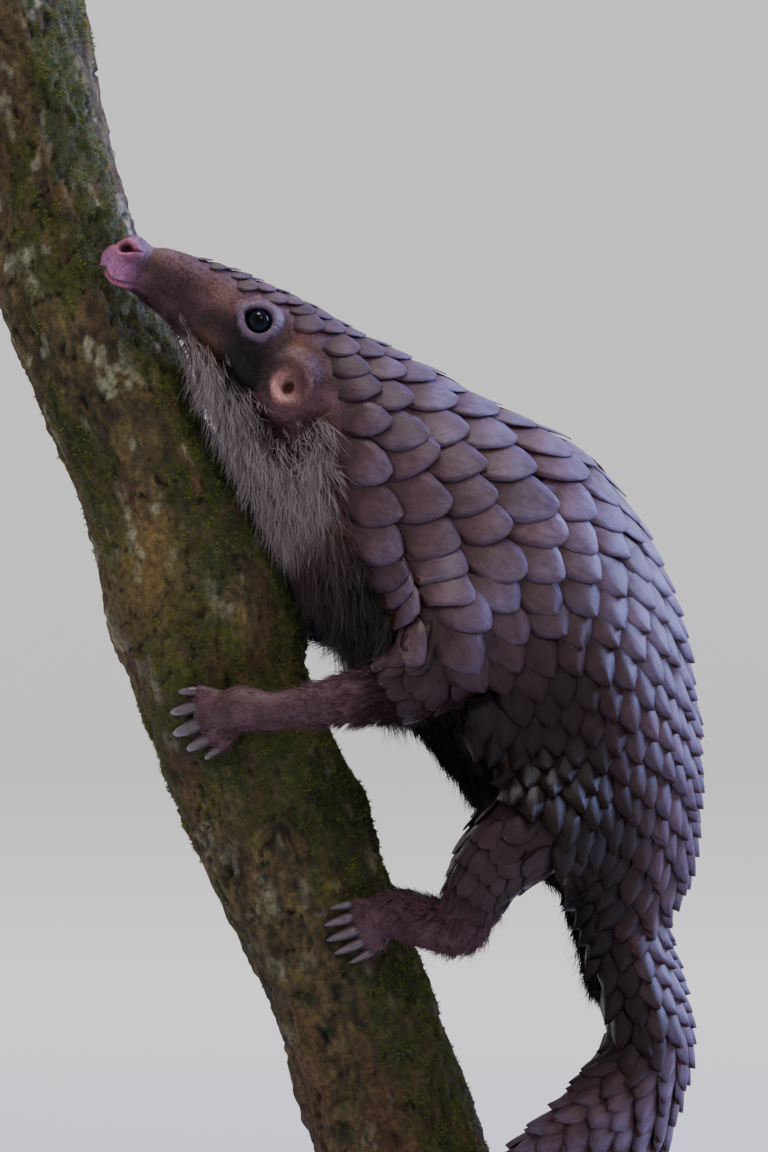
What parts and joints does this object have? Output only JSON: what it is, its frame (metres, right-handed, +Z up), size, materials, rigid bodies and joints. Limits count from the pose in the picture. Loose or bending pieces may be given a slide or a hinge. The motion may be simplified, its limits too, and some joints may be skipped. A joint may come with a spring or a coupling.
{
  "type": "pangolin model",
  "caption": "Life-size tree pangolin climbing a leaning length of trunk on a plain display stand, tail wound round the trunk.",
  "frame": {"origin": "centre of the stand's base, on its underside", "axes": "+Z up, -X the way the animal heads, -Y its left side"},
  "size_m": [0.3256, 0.21, 0.575],
  "materials": {
    "base_wood": "satin, dark stained board",
    "rod_steel": "brushed round rod",
    "bark": "rough bark with moss and lichen",
    "head_skin": "short-haired skin, bare pink nose, fine scales above",
    "scales": "overlapping horny scales, satin, fine ridges along them",
    "scaled_leg": "scales outside, short dark fur inside",
    "foot_skin": "short-haired skin with horn claws",
    "ear_skin": "bare wrinkled skin round the ear opening",
    "eye": "wet, dark"
  },
  "bodies": {
    "root": {"stand_base": "base_wood", "stand_rod_1": "rod_steel", "stand_rod_2": "rod_steel", "perch_trunk": "bark", "head": "head_skin", "neck": "scales", "torso": "scales", "tail_1": "scales", "tail_2": "scales", "tail_3": "scales", "tail_4": "scales", "foreleg_left": "scaled_leg", "foreleg_right": "scaled_leg", "hindleg_left": "scaled_leg", "hindleg_right": "scaled_leg", "forefoot_left": "foot_skin", "forefoot_right": "foot_skin", "hindfoot_left": "foot_skin", "hindfoot_right": "foot_skin", "ear_left": "ear_skin", "ear_right": "ear_skin", "eye_left": "eye", "eye_right": "eye"}
  },
  "joints": []
}
